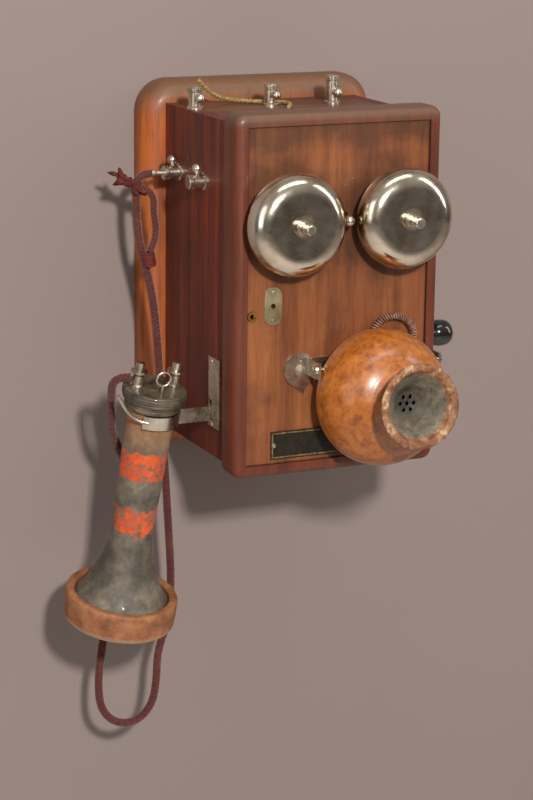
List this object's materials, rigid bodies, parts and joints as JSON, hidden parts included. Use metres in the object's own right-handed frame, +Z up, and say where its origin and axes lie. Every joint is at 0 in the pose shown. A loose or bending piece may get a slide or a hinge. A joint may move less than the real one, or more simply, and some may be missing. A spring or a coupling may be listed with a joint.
{
  "type": "wall crank telephone",
  "caption": "Wooden wall telephone with a hinged door, two gongs, a tilting transmitter, a crank generator and a receiver hanging on a fork hook.",
  "frame": {"origin": "centre of the backboard's back face", "axes": "+X to the right of someone facing the telephone, +Y into the wall, +Z up"},
  "size_m": [0.2645, 0.2133, 0.4289],
  "materials": {
    "varnished_wood": "satin",
    "nickel": "tarnished",
    "brass": "satin",
    "iron": "matte",
    "coil_cotton": "matte",
    "bronze_paint": "gloss",
    "black_composition": "gloss",
    "braided_cord": "matte",
    "cloth_wire": "matte",
    "nameplate_lacquer": "satin"
  },
  "bodies": {
    "case": {"backboard": "varnished_wood", "case_left_side": "varnished_wood", "case_right_side": "varnished_wood", "case_top": "varnished_wood", "case_bottom": "varnished_wood", "case_hinge_leaves": "nickel", "hinge_pins": "nickel", "case_screws": "brass", "line_posts": "nickel", "cord_posts": "nickel", "post_thumbscrews": "nickel", "jumper_wire": "cloth_wire", "induction_coil": "coil_cotton", "hook_plate": "nickel", "hook_pivot": "iron", "hook_contact_springs": "brass", "magneto_magnets": "iron", "magneto_frame": "iron", "crank_bushing": "brass", "receiver_cord": "braided_cord", "cord_branch": "braided_cord", "cord_tip": "brass"},
    "crank": {"crank_shaft": "nickel", "main_gear": "brass", "crank_arm": "nickel"},
    "knob": {"crank_knob": "black_composition"},
    "generator_armature": {"armature": "iron", "armature_pinion": "brass"},
    "door": {"door": "varnished_wood", "door_hinge_leaves": "nickel", "door_screws": "brass", "lock_escutcheon": "nickel", "lock_body": "iron", "door_eyelet": "brass", "nameplate": "nameplate_lacquer", "left_gong": "nickel", "right_gong": "nickel", "gong_posts": "nickel", "gong_screws": "nickel", "ringer_frame": "iron", "ringer_coils": "coil_cotton", "transmitter_bracket": "nickel", "transmitter_pivots": "nickel", "transmitter_lead": "cloth_wire"},
    "lock_bolt": {"lock_bolt": "brass"},
    "clapper": {"clapper": "nickel", "ringer_armature": "iron"},
    "transmitter": {"transmitter_shell": "bronze_paint", "transmitter_back": "iron", "transmitter_diaphragm": "iron", "carbon_button": "black_composition", "mouthpiece": "black_composition"},
    "hook": {"hook_lever": "nickel"},
    "receiver": {"receiver_body": "black_composition", "receiver_tail_cap": "black_composition", "receiver_ear_cap": "black_composition", "receiver_diaphragm": "iron", "receiver_magnet": "iron", "receiver_posts": "nickel", "receiver_ring": "nickel"}
  },
  "joints": [
    {"name": "door_hinge", "type": "hinge", "parent": "case", "child": "door", "pos_m": [0.071, -0.12095, 0], "axis": [0, 0, 1], "range_deg": [0, 100]},
    {"name": "lock_bolt_slide", "type": "slide", "parent": "door", "child": "lock_bolt", "axis": [-1, 0, 0], "range_m": [0, 0.0055]},
    {"name": "crank_spin", "type": "hinge", "parent": "case", "child": "crank", "pos_m": [0, -0.057, -0.058], "axis": [1, 0, 0], "continuous": true},
    {"name": "armature_spin", "type": "hinge", "parent": "case", "child": "generator_armature", "pos_m": [0, -0.057, -0.082], "axis": [1, 0, 0], "continuous": true},
    {"name": "knob_spin", "type": "hinge", "parent": "crank", "child": "knob", "pos_m": [0.09, -0.09, -0.043], "axis": [1, 0, 0], "continuous": true},
    {"name": "clapper_swing", "type": "hinge", "parent": "door", "child": "clapper", "pos_m": [0.00075, -0.11, 0.0124], "axis": [0, 1, 0], "range_deg": [-2, 2], "stiffness_Nm_per_rad": 0.05},
    {"name": "transmitter_tilt", "type": "hinge", "parent": "door", "child": "transmitter", "pos_m": [0.022, -0.1522, -0.044], "axis": [-1, 0, 0], "range_deg": [-6, 6], "deforming": ["transmitter_lead"]},
    {"name": "receiver_lift", "type": "slide", "parent": "case", "child": "receiver", "axis": [0.0833, -0.1916, 0.9779], "range_m": [0, 0.05], "deforming": ["receiver_cord"]},
    {"name": "hook_lever_hinge", "type": "hinge", "parent": "case", "child": "hook", "pos_m": [-0.05, -0.0995, -0.0793], "axis": [0, 1, 0], "range_deg": [0, 4], "stiffness_Nm_per_rad": 0.5, "springref_deg": 17.19}
  ],
  "couplings": [
    {"joint": "armature_spin", "follows": "crank_spin", "ratio": -5},
    {"joint": "hook_lever_hinge", "follows": "receiver_lift", "rad_per_m": 1.39}
  ]
}
